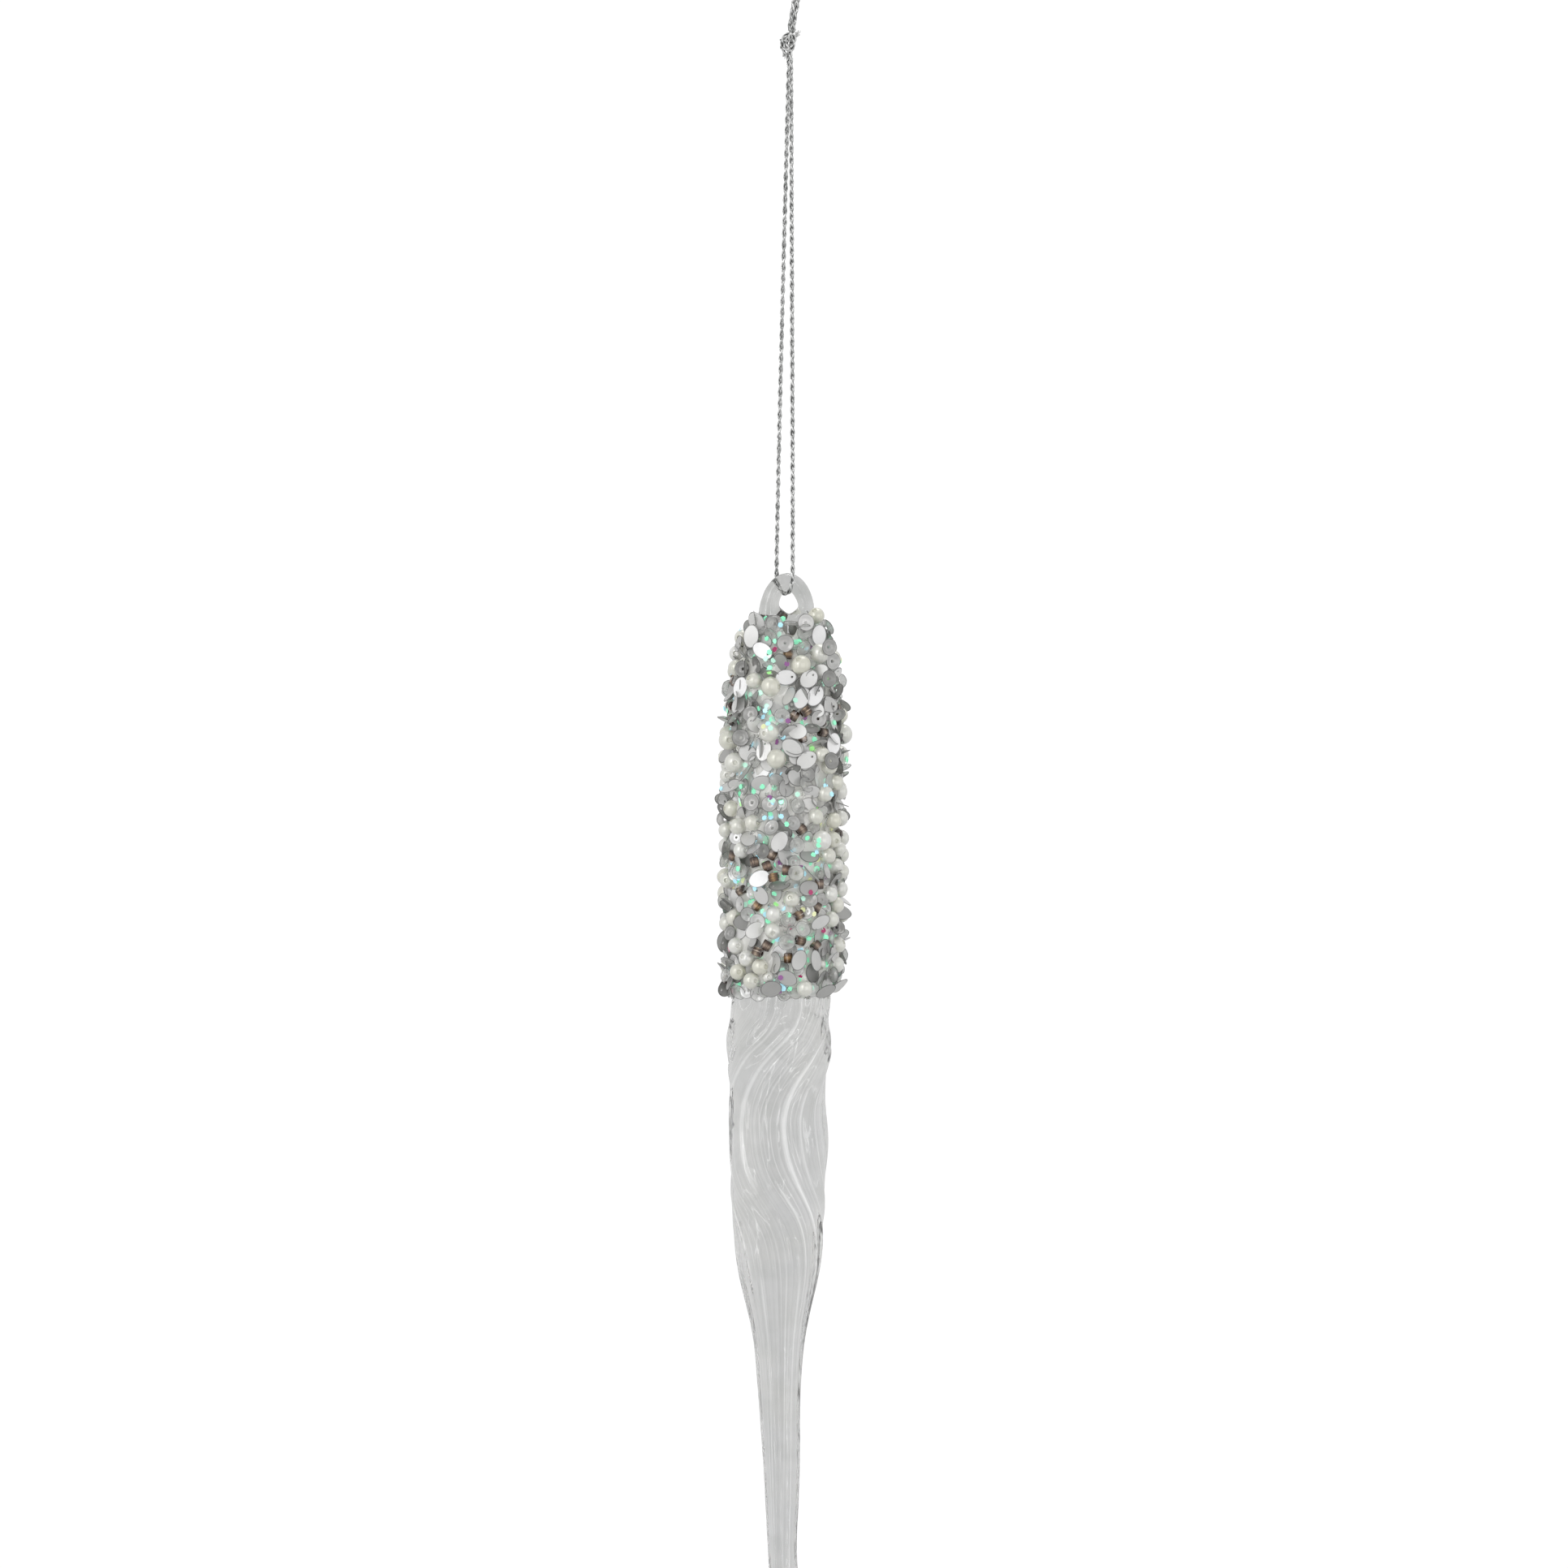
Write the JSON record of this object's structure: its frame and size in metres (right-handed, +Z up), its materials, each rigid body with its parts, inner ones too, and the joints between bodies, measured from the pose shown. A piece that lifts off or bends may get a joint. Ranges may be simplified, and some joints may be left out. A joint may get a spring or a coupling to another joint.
{
  "type": "icicle hanging ornament",
  "caption": "Clear fluted plastic icicle with a sleeve of pearls, sequins and cut beads set in glue, hung by its eye from a knotted silver cord loop.",
  "frame": {"origin": "inside top of the hanging loop, where the hook bears; everything hangs below it", "axes": "+Z up along the hanging icicle, X across the eye from side to side, the eye's hole along Y, front towards -Y"},
  "size_m": [0.0255, 0.0256, 0.3518],
  "materials": {
    "clear_plastic": "clear, softly fluted, polished",
    "clear_glue": "clear hardened glue, lumpy",
    "pearl": "ivory pearl lustre",
    "silver_sequin": "metallised foil, mirror-like",
    "mirror_paillette": "flat mirror foil",
    "bronze_bead": "silver-lined bronze glass",
    "iridescent_flake": "iridescent film, green to blue and violet",
    "silver_cord": "plaited metallic thread"
  },
  "bodies": {
    "loop": {"hanging_loop": "silver_cord"},
    "neck": {"loop_neck": "silver_cord"},
    "knot": {"cord_knot": "silver_cord", "cut_end_upper": "silver_cord", "cut_end_lower": "silver_cord"},
    "strands": {"hanging_cord": "silver_cord"},
    "icicle": {"icicle": "clear_plastic", "glue_coat": "clear_glue", "cup_sequins_row_1": "silver_sequin", "cup_sequins_row_2": "silver_sequin", "cup_sequins_row_3": "silver_sequin", "cup_sequins_row_4": "silver_sequin", "cup_sequins_row_5": "silver_sequin", "cup_sequins_row_6": "silver_sequin", "cup_sequins_row_7": "silver_sequin", "cup_sequins_row_8": "silver_sequin", "cut_beads_row_1": "bronze_bead", "cut_beads_row_2": "bronze_bead", "cut_beads_row_3": "bronze_bead", "cut_beads_row_4": "bronze_bead", "cut_beads_row_5": "bronze_bead", "cut_beads_row_6": "bronze_bead", "cut_beads_row_7": "bronze_bead", "cut_beads_row_8": "bronze_bead", "flakes_row_1": "iridescent_flake", "flakes_row_2": "iridescent_flake", "flakes_row_3": "iridescent_flake", "flakes_row_4": "iridescent_flake", "flakes_row_5": "iridescent_flake", "flakes_row_6": "iridescent_flake", "flakes_row_7": "iridescent_flake", "flakes_row_8": "iridescent_flake", "paillettes_row_1": "mirror_paillette", "paillettes_row_2": "mirror_paillette", "paillettes_row_3": "mirror_paillette", "paillettes_row_4": "mirror_paillette", "paillettes_row_5": "mirror_paillette", "paillettes_row_6": "mirror_paillette", "paillettes_row_7": "mirror_paillette", "paillettes_row_8": "mirror_paillette", "pearls_row_1": "pearl", "pearls_row_2": "pearl", "pearls_row_3": "pearl", "pearls_row_4": "pearl", "pearls_row_5": "pearl", "pearls_row_6": "pearl", "pearls_row_7": "pearl", "pearls_row_8": "pearl"}
  },
  "joints": [
    {"name": "loop_swing", "type": "hinge", "parent": "loop", "child": "neck", "pos_m": [0.0001, 0, -0.00995], "axis": [1, 0, 0], "range_deg": [-30, 30]},
    {"name": "knot_swing", "type": "hinge", "parent": "neck", "child": "knot", "pos_m": [-0.0015, 0, -0.0197], "axis": [0, 1, 0], "range_deg": [-30, 30]},
    {"name": "cord_twist", "type": "hinge", "parent": "knot", "child": "strands", "pos_m": [-0.00175, 0, -0.0246], "axis": [0, 0, 1], "range_deg": [-180, 180]},
    {"name": "eye_rock", "type": "hinge", "parent": "strands", "child": "icicle", "pos_m": [-0.0026, 0, -0.1234], "axis": [0, 1, 0], "range_deg": [-30, 30]}
  ]
}
